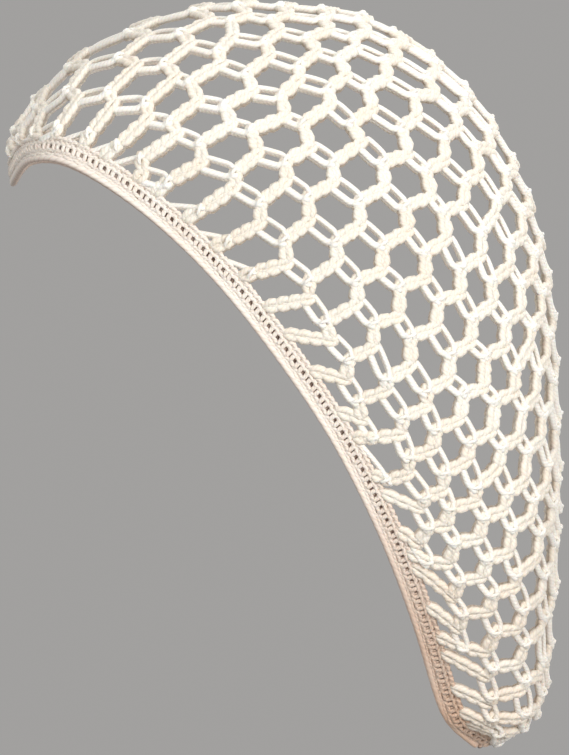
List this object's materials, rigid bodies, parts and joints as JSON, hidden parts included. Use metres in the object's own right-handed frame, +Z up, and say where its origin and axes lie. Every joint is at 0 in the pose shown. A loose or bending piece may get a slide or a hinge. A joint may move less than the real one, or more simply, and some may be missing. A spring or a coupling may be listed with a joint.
{
  "type": "crochet hair snood",
  "caption": "Hollow crochet net bag that holds long hair at the back of the head, with a tight stitched band and a corded edge round its face opening.",
  "frame": {"origin": "the point inside the crown that sits on the top of the head", "axes": "+Z up, -Y towards the face, +X towards the wearer's left ear; X = 0 is the middle plane"},
  "size_m": [0.1632, 0.2016, 0.2735],
  "materials": {
    "yarn": "matte cream cotton yarn"
  },
  "bodies": {
    "root": {"net_bag": "yarn", "stitched_band": "yarn", "edge_cord": "yarn"}
  },
  "joints": []
}
